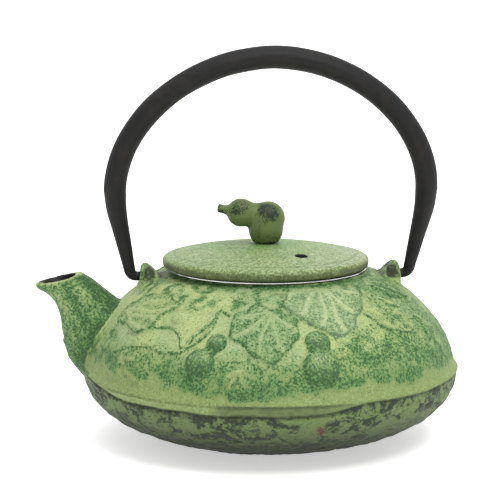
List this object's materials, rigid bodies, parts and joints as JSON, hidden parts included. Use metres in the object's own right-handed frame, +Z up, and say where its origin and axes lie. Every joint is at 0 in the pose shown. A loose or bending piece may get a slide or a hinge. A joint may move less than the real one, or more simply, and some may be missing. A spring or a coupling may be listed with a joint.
{
  "type": "cast iron teapot",
  "caption": "Squat round cast iron teapot with a stub spout, folding bail handle, domed lid with a gourd-shaped knob, and a lift-out strainer basket.",
  "frame": {"origin": "centre of the flat base, on the surface that the pot stands on", "axes": "+Z up; the spout points along -X; the bail stands in the XZ plane and swings about X"},
  "size_m": [0.1798, 0.1608, 0.1663],
  "materials": {
    "body_green_iron": "yellow-green paint sponged with dark green on the raised relief, darker below the crest, black enamel inside",
    "lid_green_iron": "yellow-green paint, fine stipple, grey-green haze at the edge",
    "knob_green_iron": "dark green patina over green paint",
    "bail_black_iron": "satin black lacquer",
    "stainless_steel": "bright pressed stainless steel",
    "steel_screen": "fine perforated stainless steel",
    "zinc_steel": "zinc plated"
  },
  "bodies": {
    "pot": {"body": "body_green_iron"},
    "bail": {"handle": "bail_black_iron"},
    "infuser": {"infuser_rim": "stainless_steel", "infuser_wall": "steel_screen", "infuser_bottom_ring": "stainless_steel", "infuser_bottom": "steel_screen"},
    "lid": {"lid": "lid_green_iron", "lid_knob": "knob_green_iron", "knob_screw": "zinc_steel", "knob_washer": "zinc_steel"}
  },
  "joints": [
    {"name": "bail_hinge", "type": "hinge", "parent": "pot", "child": "bail", "pos_m": [0, 0, 0.0694], "axis": [1, 0, 0], "range_deg": [-108, 108]},
    {"name": "infuser_lift", "type": "slide", "parent": "pot", "child": "infuser", "axis": [0, 0, 1], "range_m": [0, 0.05]},
    {"name": "lid_lift", "type": "slide", "parent": "infuser", "child": "lid", "axis": [0, 0, 1], "range_m": [0, 0.045]}
  ]
}
